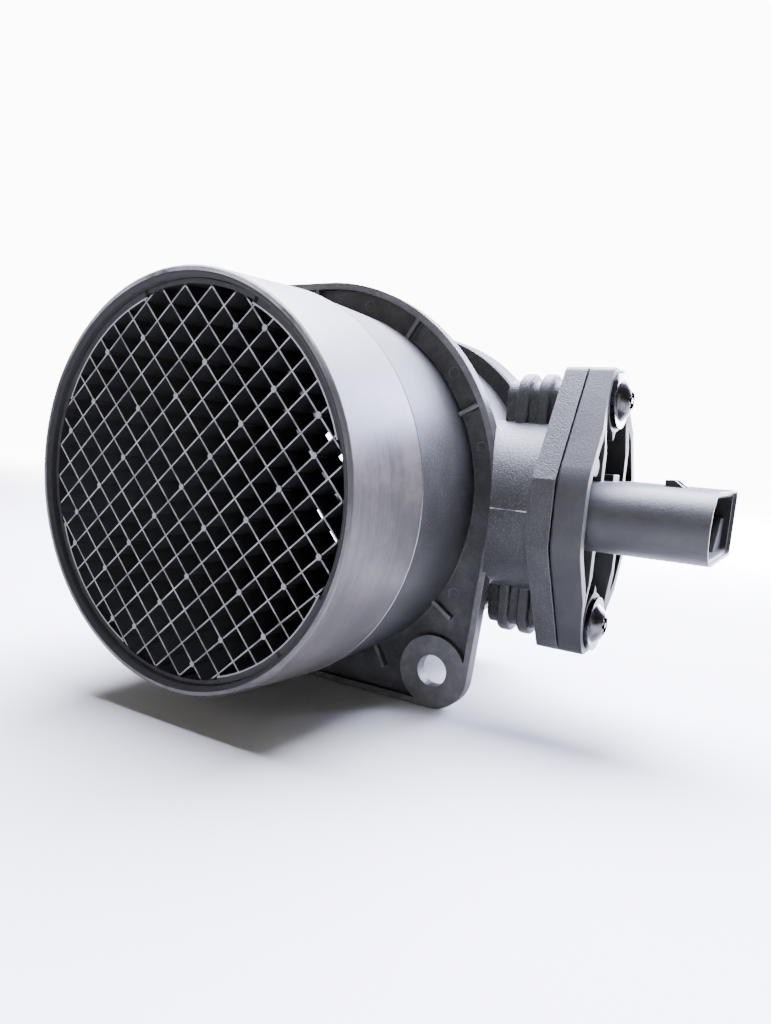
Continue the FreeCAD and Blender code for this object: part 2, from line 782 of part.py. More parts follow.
def shell_section(name, inset, start, length):
    """Half round on the near side, flat with rounded corners on the far side."""
    radius = "(shell_half_height - %s)" % inset
    drum = cylinder(name + "_drum", "x", radius, length, start, SHELL_NEAR + " + shell_half_height")
    body = prism(name + "_flat", "YZ_Plane", [
        (SHELL_NEAR + " + shell_half_height", "0 - " + radius),
        (SHELL_FAR + " - " + inset, "0 - " + radius),
        (SHELL_FAR + " - " + inset, radius),
        (SHELL_NEAR + " + shell_half_height", radius),
    ], start, length)

    def is_far_corner(edge):
        return runs_along(edge, "x") and edge.CenterOfMass.y > value("sensor_y + shell_far_y / 2")

    round_edges(body, name + "_corners", is_far_corner, "shell_corner_r")
    return fuse(name, [drum, body])


shell = shell_section("shell", "0", "seat_face_x + cover_relief", "shell_tip_x - seat_face_x - cover_relief")
socket = shell_section("socket", "shell_wall", "socket_floor_x", "socket_depth + 1")
mouth_cut = shell_section("socket_mouth", "(shell_wall - shell_chamfer)", "shell_tip_x - shell_chamfer",
                          "2 * shell_chamfer")
socket_key = prism("socket_key", "YZ_Plane", [
    (SHELL_FAR + " - shell_wall / 2", "0 - shell_half_height + shell_wall / 2"),
    (SHELL_FAR + " - shell_wall / 2", "0 - shell_half_height + shell_wall + key_height"),
    (SHELL_FAR + " - shell_wall - key_width + key_slope", "0 - shell_half_height + shell_wall + key_height"),
    (SHELL_FAR + " - shell_wall - key_width", "0 - shell_half_height + shell_wall"),
    (SHELL_FAR + " - shell_wall - key_width", "0 - shell_half_height + shell_wall / 2"),
], "socket_floor_x - 1", "socket_depth + 1 - key_setback")

latches = []
for side in ("-", "+"):
    latches.append(prism("latch_rib", "XZ_Plane", [
        ("latch_x", "shell_half_height - shell_wall / 2"),
        ("latch_x", "shell_half_height + latch_rise"),
        ("latch_x + latch_top", "shell_half_height + latch_rise"),
        ("latch_x + latch_top + latch_slope", "shell_half_height"),
        ("latch_x + latch_top + latch_slope", "shell_half_height - shell_wall / 2"),
    ], "sensor_y %s latch_gap / 2 %s" % (side, "- latch_rib" if side == "-" else ""), "latch_rib"))

plug = cylinder("plug", "x", "plug_r", "seat_face_x - plug_end_x + cover_relief", "plug_end_x", "sensor_y")
groove_out = cylinder("groove_out", "x", "neck_r", "2 * seal_section_r + 4 * seal_fit",
                      "seal_x - seal_section_r - 2 * seal_fit", "sensor_y")
groove_in = cylinder("groove_in", "x", "groove_r", "2 * seal_section_r + 4 * seal_fit",
                     "seal_x - seal_section_r - 2 * seal_fit", "sensor_y")
groove = cut("seal_groove", groove_out, groove_in)

ARM_LOW_Y = "arm_y - arm_half_width"
ARM_HIGH_Y = "arm_y + arm_half_width"
arm = prism("probe_arm", "YZ_Plane", [
    (ARM_LOW_Y, "0 - arm_half_thickness + arm_nose"),
    (ARM_LOW_Y, "arm_half_thickness - arm_nose"),
    (ARM_LOW_Y + " + arm_nose", "arm_half_thickness"),
    (ARM_HIGH_Y + " - arm_nose", "arm_half_thickness"),
    (ARM_HIGH_Y, "arm_half_thickness - arm_nose"),
    (ARM_HIGH_Y, "0 - arm_half_thickness + arm_nose"),
    (ARM_HIGH_Y + " - arm_nose", "0 - arm_half_thickness"),
    (ARM_LOW_Y + " + arm_nose", "0 - arm_half_thickness"),
], "0 - arm_tip_x", "arm_tip_x + plug_end_x + 1")

POCKET_Y = ("arm_y - pocket_half_width", "arm_y + pocket_half_width")
LID_BOTTOM = "arm_half_thickness - lid_thickness"
pocket = block("electronics_pocket", ("pocket_start_x", "pocket_end_x"), POCKET_Y,
               ("base_floor", "2 * arm_half_thickness"))
lid_seat = block("electronics_lid_seat",
                 ("pocket_start_x - lid_ledge", "pocket_end_x + lid_ledge"),
                 (POCKET_Y[0] + " - lid_ledge", POCKET_Y[1] + " + lid_ledge"),
                 (LID_BOTTOM, "2 * arm_half_thickness"))
channel = block("bypass_channel", ("0 - channel_half_width", "channel_half_width"),
                (ARM_LOW_Y + " - 1", ARM_HIGH_Y + " + 1"), ("0 - channel_depth", "channel_depth"))
channel_top = block("bypass_channel_top", ("0 - channel_half_width", "channel_half_width"),
                    (ARM_LOW_Y + " + channel_land", ARM_HIGH_Y + " - channel_land"),
                    ("0", "2 * arm_half_thickness"))
bypass_seat = block("bypass_lid_seat",
                    ("0 - channel_half_width - lid_ledge", "channel_half_width + lid_ledge"),
                    (ARM_LOW_Y + " + channel_land - lid_ledge", ARM_HIGH_Y + " - channel_land + lid_ledge"),
                    (LID_BOTTOM, "2 * arm_half_thickness"))
carrier_slot = block("carrier_slot", ("0", "pocket_start_x + 1"),
                     ("arm_y - carrier_half_width - carrier_fit", "arm_y + carrier_half_width + carrier_fit"),
                     ("board_top - carrier_fit", "board_top + carrier_thickness + carrier_fit"))
notch = block("bead_notch", ("notch_start_x", "notch_start_x + notch_length"),
              (ARM_LOW_Y + " - 1", ARM_LOW_Y + " + notch_depth"),
              ("0 - 2 * arm_half_thickness", "2 * arm_half_thickness"))
BEAD_Y = ARM_LOW_Y + " + notch_depth / 2"
lead_way = cylinder("lead_way", "x", "lead_r + lead_fit", "notch_length + 2 * lead_seat",
                    "notch_start_x - lead_seat", BEAD_Y)


def pin_row(index):
    return "(shell_centre_y + %d * pin_pitch)" % (index - (PIN_COUNT - 1) // 2)


pin_ways = []
for index in range(PIN_COUNT):
    half = "(pin_side / 2 + pin_fit)"
    pin_ways.append(block("pin_way", ("pocket_end_x - 1", "socket_floor_x + 1"),
                          (pin_row(index) + " - " + half, pin_row(index) + " + " + half),
                          ("0 - " + half, half)))

sensor_blank = fuse("sensor_blank", [cover_foot, cover_slab, plug, arm])
sensor_open = cut("sensor_open", sensor_blank, fuse("cover_openings", [cover_pockets] + seat_cuts))
sensor_solid = fuse("sensor_solid", [sensor_open, shell] + latches)
socket_open = cut("socket_open", fuse("socket_space", [socket, mouth_cut]), socket_key)
sensor_holes = fuse("sensor_holes", [socket_open, groove, pocket, lid_seat, channel, channel_top, bypass_seat,
                                     carrier_slot, notch, lead_way] + pin_ways)
sensor_body = cut("sensor_body_cut", sensor_solid, sensor_holes)
sensor_body.Label = "sensor_body"

# Covers that close the arm's two openings

electronics_cover = block(
    "electronics_cover",
    ("pocket_start_x - lid_ledge + lid_fit", "pocket_end_x + lid_ledge - lid_fit"),
    (POCKET_Y[0] + " - lid_ledge + lid_fit", POCKET_Y[1] + " + lid_ledge - lid_fit"),
    (LID_BOTTOM, "arm_half_thickness"),
)
bypass_cover = block(
    "bypass_cover",
    ("0 - channel_half_width - lid_ledge + lid_fit", "channel_half_width + lid_ledge - lid_fit"),
    (ARM_LOW_Y + " + channel_land - lid_ledge + lid_fit",
     ARM_HIGH_Y + " - channel_land + lid_ledge - lid_fit"),
    (LID_BOTTOM, "arm_half_thickness"),
)

# Base plate, circuit board and what stands on it

BOARD_X = ("pocket_start_x + board_fit", "pocket_end_x - board_fit")
BOARD_Y = (POCKET_Y[0] + " + board_fit", POCKET_Y[1] + " - board_fit")
base_plate = block("base_plate", BOARD_X, BOARD_Y, ("base_floor", "base_floor + base_thickness"))
circuit_board = block("circuit_board", BOARD_X, BOARD_Y, ("base_floor + base_thickness", "board_top"))
signal_chip = block("signal_chip", ("chip_x", "chip_x + chip_side"),
                    ("arm_y - chip_side / 2", "arm_y + chip_side / 2"),
                    ("board_top", "board_top + chip_height"))
nodes = [housing, inlet_grid, sensor_body, electronics_cover, bypass_cover, base_plate, circuit_board,
         signal_chip]
for index in range(CAPACITOR_COUNT):
    middle = "(arm_y + %d * capacitor_step)" % (index - (CAPACITOR_COUNT - 1) // 2)
    capacitor = block("capacitor_%d" % (index + 1),
                      ("capacitor_x", "capacitor_x + capacitor_width"),
                      (middle + " - capacitor_length / 2", middle + " + capacitor_length / 2"),
                      ("board_top", "board_top + capacitor_height"))
    nodes.append(capacitor)

# Carrier with the heated sensing element, reaching into the bypass channel

element_carrier = block("element_carrier",
                        ("0 - carrier_tip_x", "pocket_start_x + board_fit + carrier_overlap"),
                        ("arm_y - carrier_half_width", "arm_y + carrier_half_width"),
                        ("board_top", "board_top + carrier_thickness"))
sensing_element = block("sensing_element",
                        ("0 - element_length / 2", "element_length / 2"),
                        ("arm_y - element_width / 2", "arm_y + element_width / 2"),
                        ("board_top + carrier_thickness", "board_top + carrier_thickness + element_thickness"))
nodes += [element_carrier, sensing_element]

# Seal ring on the plug

seal_ring = doc.addObject("Part::Torus", "o_ring")
seal_ring.Placement = FreeCAD.Placement(Vector(), TURNS["x"])
bind(seal_ring, Radius1="seal_r", Radius2="seal_section_r")
place(seal_ring, "seal_x", "sensor_y", "0")
nodes.append(seal_ring)

# Connector pins, straight from the socket to the board

for index in range(PIN_COUNT):
    nodes.append(block("connector_pin_%d" % (index + 1),
                       ("pocket_end_x - board_fit - pin_overlap", "socket_floor_x + pin_reach"),
                       (pin_row(index) + " - pin_side / 2", pin_row(index) + " + pin_side / 2"),
                       ("0 - pin_side / 2", "pin_side / 2")))

# Air temperature bead on its two leads

bead = doc.addObject("Part::Sphere", "bead_ball")
bind(bead, Radius="bead_r")
place(bead, "notch_start_x + notch_length / 2", BEAD_Y, "0")
bead.Label = "thermistor_bead"
nodes.append(bead)
lead_length = "notch_length / 2 + lead_seat - bead_r"
for index, start in enumerate(("notch_start_x - lead_seat", "notch_start_x + notch_length / 2 + bead_r")):
    nodes.append(cylinder("thermistor_lead_%d" % (index + 1), "x", "lead_r", lead_length, start, BEAD_Y))

# Screws: washer-faced domed heads with a six-lobed recess around a pin

dome_ball = "((screw_dome_r * screw_dome_r + screw_dome_rise * screw_dome_rise) / (2 * screw_dome_rise))"
for name, sign in (("screw_upper", ""), ("screw_lower", "0 - ")):
    level = sign + "screw_spread"
    collar = cylinder(name + "_collar", "x", "screw_flange_r", "screw_flange_thickness",
                      "screw_seat_x", "sensor_y", level)
    ball = doc.addObject("Part::Sphere", name + "_ball")
    bind(ball, Radius=dome_ball)
    dome_base = "screw_seat_x + screw_flange_thickness"
    place(ball, "%s + screw_dome_rise - %s" % (dome_base, dome_ball), "sensor_y", level)
    cap = cylinder(name + "_cap", "x", "screw_flange_r", "screw_dome_rise + 1", dome_base, "sensor_y", level)
    dome = common(name + "_dome", ball, cap)
    shank = cylinder(name + "_shank", "x", "screw_core_r",
                     "screw_seat_x - screw_bore_x - screw_end_gap + screw_flange_thickness / 2",
                     "screw_bore_x + screw_end_gap", "sensor_y", level)
    recess_x = dome_base + " + screw_dome_rise - recess_depth"
    lobes = [cylinder(name + "_recess", "x", "recess_r", "recess_depth + 1", recess_x, "sensor_y", level)]
    for index in range(RECESS_LOBES):
        turn = 2 * math.pi * index / RECESS_LOBES
        lobes.append(cylinder(name + "_lobe", "x", "recess_lobe_r", "recess_depth + 1", recess_x,
                              "sensor_y + recess_r * %.6f" % math.cos(turn),
                              level + " + recess_r * %.6f" % math.sin(turn)))
    centre_pin = cylinder(name + "_pin", "x", "recess_pin_r", "recess_depth - recess_pin_drop",
                          recess_x, "sensor_y", level)
    recess = cut(name + "_recess_ring", fuse(name + "_recess_lobes", lobes), centre_pin)
    screw = cut(name + "_cut", fuse(name + "_solid", [collar, dome, shank]), recess)
    screw.Label = name
    nodes.append(screw)

# Check every feature and write each sub-part

doc.recompute()
for feature in doc.Objects:
    if "Invalid" in feature.State or "Error" in feature.State:
        raise RuntimeError("feature failed: " + feature.Name)
for node in nodes:
    shape = node.Shape
    if shape.isNull() or not shape.isValid() or not shape.Solids:
        raise RuntimeError("shape is not sound: " + node.Label)

os.makedirs("parts", exist_ok=True)
for node in nodes:
    node.Shape.exportStep("parts/" + node.Label + ".step")
    box = node.Shape.BoundBox
    print("%-20s solids %d  volume %10.2f  x %.2f..%.2f  y %.2f..%.2f  z %.2f..%.2f" % (
        node.Label, len(node.Shape.Solids), node.Shape.Volume,
        box.XMin, box.XMax, box.YMin, box.YMax, box.ZMin, box.ZMax))
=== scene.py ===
import math

import bmesh
import bpy
from mathutils import Matrix, Vector


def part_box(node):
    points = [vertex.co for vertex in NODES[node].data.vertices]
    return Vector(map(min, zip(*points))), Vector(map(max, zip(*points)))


# Looks of the plug-in airflow sensor, in metres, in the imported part's own frame:
# origin on the duct's axis in the flange's front plane, +Y with the air, +X the sensor's side.

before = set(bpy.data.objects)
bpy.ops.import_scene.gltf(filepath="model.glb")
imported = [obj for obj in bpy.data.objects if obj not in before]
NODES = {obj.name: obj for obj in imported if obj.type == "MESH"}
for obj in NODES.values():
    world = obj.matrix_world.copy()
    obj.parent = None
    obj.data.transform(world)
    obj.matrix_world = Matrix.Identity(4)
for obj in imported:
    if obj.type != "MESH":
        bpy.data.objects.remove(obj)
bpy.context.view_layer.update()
MM = 0.001
HOUSING_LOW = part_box("housing")[0]
GRID_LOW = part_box("inlet_grid")[0]

# Places on the duct

MOUTH_Y = HOUSING_LOW.y
LIP_DEPTH = 0.3 * MM
LIP_INNER_R = 40.5 * MM
RECESS_R = 41.3 * MM
RECESS_END_Y = -38.0 * MM
BORE_R = 38.8 * MM
STEP_Y = -24.0 * MM
SATIN_END_Y = STEP_Y + 0.1 * MM
STEP_LINE_Y = STEP_Y + 0.15 * MM
STEP_LINE_CORE = 0.2 * MM
STEP_LINE_EDGE = 0.5 * MM

# Places on the flange and the neck

FLANGE_FRONT_Y = -0.6 * MM
FLANGE_RAISED_Y = 1.0 * MM
FLANGE_FLOOR_Y = 3.4 * MM
FLANGE_END_X = 49.2 * MM
NECK_START_X = 49.6 * MM
NECK_END_X = 58.5 * MM
NECK_LINE_HALF = 0.13 * MM
NECK_LINE_END_Y = 6.0 * MM

# Places on the sensor

DUCT_SIDE_X = 54.0 * MM
SEAM_END_X = 64.5 * MM
POCKET_FLOOR_LOW_X = 65.0 * MM
POCKET_FLOOR_HIGH_X = 66.5 * MM
COVER_FACE_X = 68.8 * MM
SOCKET_START_X = 75.0 * MM
SOCKET_LOW_Y = 2.1 * MM
SOCKET_HIGH_Y = 28.9 * MM
SOCKET_HALF = 6.2 * MM

# Places on the grid; the ring's slots are turns about the duct's axis, in degrees

GRID_FRONT_Y = GRID_LOW.y + 0.25 * MM
BAR_FRONT_DEPTH = 0.3 * MM
KNOT_RISE = 0.12 * MM
RING_INNER_R = 38.6 * MM
RING_EDGE_LOW_R = 38.4 * MM
RING_EDGE_HIGH_R = 38.9 * MM
RING_SLOTS = (-24.9, -47.2, 64.4, 107.3)
SLOT_HALF_TURN = 0.012

# Shared measures of the moulded surfaces

GRAIN_SCALE = 2900.0
SQUARE_ON = 0.7
WEAR_RADIUS = 0.35 * MM
WEAR_RANGE = (0.02, 0.2)
MOULDED_EDGE = 0.3 * MM


# Materials: a small helper that adds nodes and joins them

class Look:
    """A procedural material whose nodes are added one by one."""

    def __init__(self, name):
        self.material = bpy.data.materials.new(name)
        self.material.use_nodes = True
        self.tree = self.material.node_tree
        self.tree.nodes.clear()
        output = self.add("ShaderNodeOutputMaterial")
        self.shader = self.add("ShaderNodeBsdfPrincipled")
        self.tree.links.new(self.shader.outputs[0], output.inputs[0])
        place = self.add("ShaderNodeTexCoord")
        self.place = place.outputs["Object"]
        axes = self.add("ShaderNodeSeparateXYZ")
        self.join(self.place, axes.inputs[0])
        self.x, self.y, self.z = axes.outputs

    def add(self, kind, **settings):
        node = self.tree.nodes.new(kind)
        for name, setting in settings.items():
            setattr(node, name, setting)
        return node

    def join(self, source, target):
        if isinstance(source, (int, float, tuple)):
            target.default_value = source
        else:
            self.tree.links.new(source, target)

    def math(self, operation, first, second=0.0):
        node = self.add("ShaderNodeMath", operation=operation)
        self.join(first, node.inputs[0])
        self.join(second, node.inputs[1])
        return node.outputs[0]

    def times(self, first, *others):
        """The product of two or more masks or amounts."""
        for other in others:
            first = self.math("MULTIPLY", first, other)
        return first

    def plus(self, first, second):
        return self.math("ADD", first, second)

    def minus(self, first, second):
        return self.math("SUBTRACT", first, second)

    def either(self, first, second):
        return self.math("MAXIMUM", first, second)

    def size(self, source):
        return self.math("ABSOLUTE", source)

    def above(self, source, limit):
        return self.math("GREATER_THAN", source, limit)

    def below(self, source, limit):
        return self.math("LESS_THAN", source, limit)

    def between(self, source, low, high):
        return self.times(self.above(source, low), self.below(source, high))

    def ramp(self, source, low, high):
        """Runs from 0 at low to 1 at high."""
        node = self.add("ShaderNodeMapRange", clamp=True, interpolation_type="SMOOTHSTEP")
        self.join(source, node.inputs[0])
        node.inputs[1].default_value = low
        node.inputs[2].default_value = high
        return node.outputs[0]

    def noise(self, scale, detail, rough, vector=None):
        node = self.add("ShaderNodeTexNoise")
        self.join(self.place if vector is None else vector, node.inputs["Vector"])
        node.inputs["Scale"].default_value = scale
        node.inputs["Detail"].default_value = detail
        node.inputs["Roughness"].default_value = rough
        return node.outputs["Fac"]

    def mix(self, factor, first, second):
        node = self.add("ShaderNodeMix", data_type="RGBA")
        self.join(factor, node.inputs[0])
        self.join(first, node.inputs[6])
        self.join(second, node.inputs[7])
        return node.outputs[2]

    def mix_amount(self, factor, first, second):
        node = self.add("ShaderNodeMix", data_type="FLOAT")
        self.join(factor, node.inputs[0])
        self.join(first, node.inputs[2])
        self.join(second, node.inputs[3])
        return node.outputs[0]

    def edge(self, radius, low, high):
        """1 along sharp outer edges, from how far a bevelled normal turns from the true one."""
        geometry = self.add("ShaderNodeNewGeometry")
        product = self.add("ShaderNodeVectorMath", operation="DOT_PRODUCT")
        self.join(self.soft_edges(radius), product.inputs[0])
        self.join(geometry.outputs["Normal"], product.inputs[1])
        return self.ramp(self.minus(1.0, product.outputs["Value"]), low, high)

    def facing(self):
        """The x, y and z of the surface's own normal."""
        geometry = self.add("ShaderNodeNewGeometry")
        axes = self.add("ShaderNodeSeparateXYZ")
        self.join(geometry.outputs["True Normal"], axes.inputs[0])
        return axes.outputs

    def distance(self, first, second):
        """The length of a vector with these two sides."""
        return self.math("SQRT", self.plus(self.times(first, first), self.times(second, second)))

    def radius(self):
        """Distance from the duct's axis."""
        return self.distance(self.x, self.z)

    def turn(self):
        """The turn about the duct's axis, from +X towards +Z."""
        return self.math("ARCTAN2", self.z, self.x)

    def bump(self, height, strength, distance, normal):
        node = self.add("ShaderNodeBump")
        node.inputs["Strength"].default_value = strength
        node.inputs["Distance"].default_value = distance
        self.join(height, node.inputs["Height"])
        self.join(normal, node.inputs["Normal"])
        return node.outputs[0]

    def soft_edges(self, radius):
        """A slightly rounded normal for moulded edges."""
        bevel = self.add("ShaderNodeBevel", samples=4)
        bevel.inputs["Radius"].default_value = radius
        return bevel.outputs[0]

    def finish(self, colour, rough, normal=None, metallic=0.0, specular=0.5):
        self.join(colour, self.shader.inputs["Base Color"])
        self.join(rough, self.shader.inputs["Roughness"])
        self.shader.inputs["Metallic"].default_value = metallic
        self.shader.inputs["Specular IOR Level"].default_value = specular
        if normal is not None:
            self.join(normal, self.shader.inputs["Normal"])
        return self.material


def grey(level, tint=0.0):
    """A neutral colour; a positive tint leans to blue, a negative one to brown."""
    return (level * (1 - tint), level, level * (1 + tint), 1.0)


def turned_rings(look, radius):
    """Fine uneven rings around the duct, as turning or rubbing leaves them."""
    vector = look.add("ShaderNodeCombineXYZ")
    look.join(look.turn(), vector.inputs[0])
    look.join(look.times(look.y, 900.0), vector.inputs[1])
    look.join(look.times(radius, 40.0), vector.inputs[2])
    return look.noise(1.6, 6.0, 0.7, vector=vector.outputs[0])


def housing_plastic():
    look = Look("housing_plastic")
    radius = look.radius()
    fine = look.noise(GRAIN_SCALE, 2.0, 0.6)
    coarse = look.noise(140.0, 5.0, 0.6)
    patches = look.noise(160.0, 8.0, 0.78)
    mottle = look.noise(70.0, 7.0, 0.72)
    rings = turned_rings(look, radius)

    # Where each kind of surface lies
    smooth_zone = look.below(look.y, SATIN_END_Y)
    step_near = look.size(look.minus(look.y, STEP_LINE_Y))
    step_line = look.minus(1.0, look.ramp(step_near, STEP_LINE_CORE, STEP_LINE_EDGE))
    outer = look.above(radius, LIP_INNER_R)
    bore_painted_shade = look.times(look.below(radius, BORE_R), look.below(look.x, BORE_R))
    lip = look.times(look.below(look.y, MOUTH_Y + LIP_DEPTH), outer)
    recess_painted_shade = look.times(look.below(look.y, RECESS_END_Y), look.below(radius, RECESS_R))
    flange = look.times(look.between(look.y, FLANGE_FRONT_Y, FLANGE_FLOOR_Y),
                        look.below(look.x, FLANGE_END_X),
                        look.below(look.facing()[1], -SQUARE_ON))
    raised = look.below(look.y, FLANGE_RAISED_Y)
    neck_line_painted_highlight = look.times(look.below(look.size(look.z), NECK_LINE_HALF),
                           look.between(look.x, NECK_START_X, NECK_END_X),
                           look.ramp(coarse, 0.35, 0.5),
                           look.below(look.y, NECK_LINE_END_Y))

    # The grained plastic and the satin inlet cylinder
    textured = look.mix(look.ramp(coarse, 0.35, 0.7), grey(0.010), grey(0.018, 0.01))
    speckle = look.ramp(fine, 0.5, 0.68)
    textured = look.mix(look.times(speckle, 0.3), textured, grey(0.08))
    satin = look.mix(look.ramp(rings, 0.35, 0.65), grey(0.027, -0.03), grey(0.046, -0.05))
    stains = look.times(look.ramp(mottle, 0.44, 0.62), 0.55)
    satin = look.mix(stains, satin, (0.088, 0.073, 0.068, 1.0))
    scratches = look.times(look.ramp(rings, 0.62, 0.74), 0.25)
    satin = look.mix(scratches, satin, grey(0.10, -0.03))
    colour = look.mix(smooth_zone, textured, satin)

    # The flange's front faces: painted light, stronger on the raised faces, painted shade in the
    # pockets, and rubbed patches
    # Painted light on the raised front faces and painted shade on the pocket floors
    painted_face_light_pocket_shade = look.mix(raised, grey(0.028), grey(0.085))
    colour = look.mix(look.times(flange, 0.7), colour, painted_face_light_pocket_shade)
    wear_and_painted_light = look.times(look.ramp(patches, 0.42, 0.66), flange)
    wear_and_painted_light = look.times(wear_and_painted_light, look.plus(0.15, look.times(raised, 0.3)))
    colour = look.mix(wear_and_painted_light, colour, grey(0.14, -0.02))

    # The line at the step, a painted highlight below and a painted shadow above, and the neck's moulding
    # line with a painted highlight
    line = look.times(step_line, outer)
    step_painted_highlight = look.times(line, look.ramp(look.z, 0.008, -0.012))
    step_painted_shadow = look.times(line, look.ramp(look.z, -0.004, 0.008))
    # Painted highlight below the step and painted shadow above it
    colour = look.mix(look.times(step_painted_highlight, 0.8), colour, grey(0.5))
    colour = look.mix(look.times(step_painted_shadow, 0.85), colour, grey(0.003))
    # Painted highlight along the neck's moulding line
    colour = look.mix(look.times(neck_line_painted_highlight, 0.8), colour, grey(0.30, -0.02))

    # Worn edges, the mouth's lip, worn and with a painted highlight on its top, and painted shade in its
    # recess and inside the duct
    wear = look.edge(WEAR_RADIUS, *WEAR_RANGE)
    colour = look.mix(look.times(wear, 0.5), colour, grey(0.16, 0.02))
    lip_wear_and_painted_highlight = look.mix(look.ramp(rings, 0.4, 0.62), grey(0.02), grey(0.08))
    # Painted highlight on the lip's top, streaked by the rings
    lip_top_painted_highlight = look.times(look.ramp(look.z, 0.018, 0.038), look.ramp(rings, 0.3, 0.5))
    lip_wear_and_painted_highlight = look.mix(look.times(lip_top_painted_highlight, 0.8), lip_wear_and_painted_highlight, grey(0.30, 0.02))
    colour = look.mix(look.times(lip, 0.9), colour, lip_wear_and_painted_highlight)
    # Painted shade in the mouth's recess and inside the duct's bore
    colour = look.mix(recess_painted_shade, colour, grey(0.006))
    colour = look.mix(bore_painted_shade, colour, grey(0.008))

    satin_rough = look.plus(0.30, look.times(look.plus(rings, mottle), 0.13))
    rough = look.mix_amount(smooth_zone, 0.52, satin_rough)
    # Rougher at the step's painted shadow and at the painted shade of the recess and bore
    dull = look.either(step_painted_shadow, look.either(recess_painted_shade, bore_painted_shade))
    rough = look.mix_amount(dull, rough, 0.85)

    grain = look.times(fine, look.minus(1.0, smooth_zone))
    normal = look.bump(grain, 0.9, 0.12 * MM, look.soft_edges(MOULDED_EDGE))
    normal = look.bump(line, 0.8, 0.3 * MM, normal)
    normal = look.bump(look.times(rings, smooth_zone), 0.06, 0.04 * MM, normal)
    return look.finish(colour, rough, normal, specular=0.35)


def sensor_plastic():
    look = Look("sensor_plastic")
    coarse = look.noise(120.0, 5.0, 0.6)
    fine = look.noise(GRAIN_SCALE, 2.0, 0.6)

    # Where the cover's face, its pockets, the seam and the socket's inside lie: a painted reflection on
    # the face and painted shade in the pockets, the seam, the socket and on the part inside the duct
    outward = look.above(look.facing()[0], SQUARE_ON)
    cover_face_painted_reflection = look.times(outward, look.above(look.x, COVER_FACE_X))
    pocket_painted_shade = look.times(look.between(look.x, POCKET_FLOOR_LOW_X, POCKET_FLOOR_HIGH_X), outward)
    seam_painted_shade = look.below(look.x, SEAM_END_X)
    straight = look.times(look.between(look.y, SOCKET_LOW_Y, SOCKET_HIGH_Y),
                          look.below(look.size(look.z), SOCKET_HALF))
    from_round = look.distance(look.minus(look.y, SOCKET_LOW_Y), look.z)
    socket_painted_shade = look.times(look.either(straight, look.below(from_round, SOCKET_HALF)),
                        look.above(look.x, SOCKET_START_X))
    in_duct_painted_shade = look.below(look.x, DUCT_SIDE_X)

    wear = look.edge(WEAR_RADIUS, *WEAR_RANGE)
    colour = look.mix(look.ramp(coarse, 0.35, 0.7), grey(0.010), grey(0.018))
    colour = look.mix(look.times(wear, 0.5), colour, grey(0.16, 0.02))
    # Painted reflection on the cover's outward face, lighter and bluish
    colour = look.mix(look.times(cover_face_painted_reflection, 0.5), colour, grey(0.12, 0.04))
    # Painted shade in the pockets, the seam, the socket and on the part inside the duct
    colour = look.mix(pocket_painted_shade, colour, grey(0.004))
    colour = look.mix(look.times(seam_painted_shade, 0.9), colour, grey(0.002))
    colour = look.mix(socket_painted_shade, colour, grey(0.003))
    colour = look.mix(in_duct_painted_shade, colour, grey(0.008))

    rough = look.plus(0.40, look.times(coarse, 0.18))
    rough = look.either(rough, look.times(look.either(socket_painted_shade, pocket_painted_shade), 0.9))
    normal = look.bump(fine, 0.7, 0.08 * MM, look.soft_edges(MOULDED_EDGE))
    return look.finish(colour, rough, normal, specular=0.32)


def grid_plastic():
    look = Look("grid_plastic")
    forward = look.below(look.facing()[1], -SQUARE_ON)
    front = look.times(forward, look.below(look.y, GRID_FRONT_Y + BAR_FRONT_DEPTH))
    ring = look.above(look.radius(), RING_INNER_R)
    ring_edge = look.between(look.radius(), RING_EDGE_LOW_R, RING_EDGE_HIGH_R)
    knot_painted_highlight = look.times(front, look.below(look.y, GRID_FRONT_Y - KNOT_RISE))
    coarse = look.noise(260.0, 5.0, 0.65)

    # Painted light on the grid's front faces, with random tone
    wear_and_painted_light = look.mix(look.ramp(coarse, 0.3, 0.7), grey(0.08), grey(0.20))
    wear_and_painted_light = look.mix(ring, wear_and_painted_light, look.mix(coarse, grey(0.012), grey(0.03)))
    for place in RING_SLOTS:
        beside = look.size(look.minus(look.turn(), math.radians(place)))
        slot = look.times(ring, look.below(beside, SLOT_HALF_TURN))
        wear_and_painted_light = look.mix(slot, wear_and_painted_light, grey(0.001))
    wear_and_painted_light = look.mix(look.times(ring_edge, 0.8), wear_and_painted_light, grey(0.22))
    # Painted shade on the bars' sides
    colour = look.mix(front, grey(0.006), wear_and_painted_light)
    # Painted highlight on the knots' tops
    colour = look.mix(look.times(knot_painted_highlight, 0.8), colour, grey(0.17))

    rough = look.minus(0.9, look.times(front, 0.4))
    normal = look.bump(coarse, 0.2, 0.05 * MM, look.soft_edges(0.12 * MM))
    return look.finish(colour, rough, normal, specular=0.08)


def plain_plastic(name, level, rough):
    look = Look(name)
    coarse = look.noise(300.0, 4.0, 0.6)
    colour = look.mix(coarse, grey(level * 0.8), grey(level * 1.2))
    fine = look.noise(2400.0, 2.0, 0.55)
    normal = look.bump(fine, 0.2, 0.03 * MM, look.soft_edges(0.15 * MM))
    return look.finish(colour, rough, normal)


def coloured(name, dark, light, rough, metallic=0.0):
    look = Look(name)
    spots = look.noise(500.0, 4.0, 0.6)
    colour = look.mix(look.ramp(spots, 0.3, 0.7), dark, light)
    normal = look.bump(spots, 0.1, 0.02 * MM, look.soft_edges(0.1 * MM))
    return look.finish(colour, rough, normal, metallic)


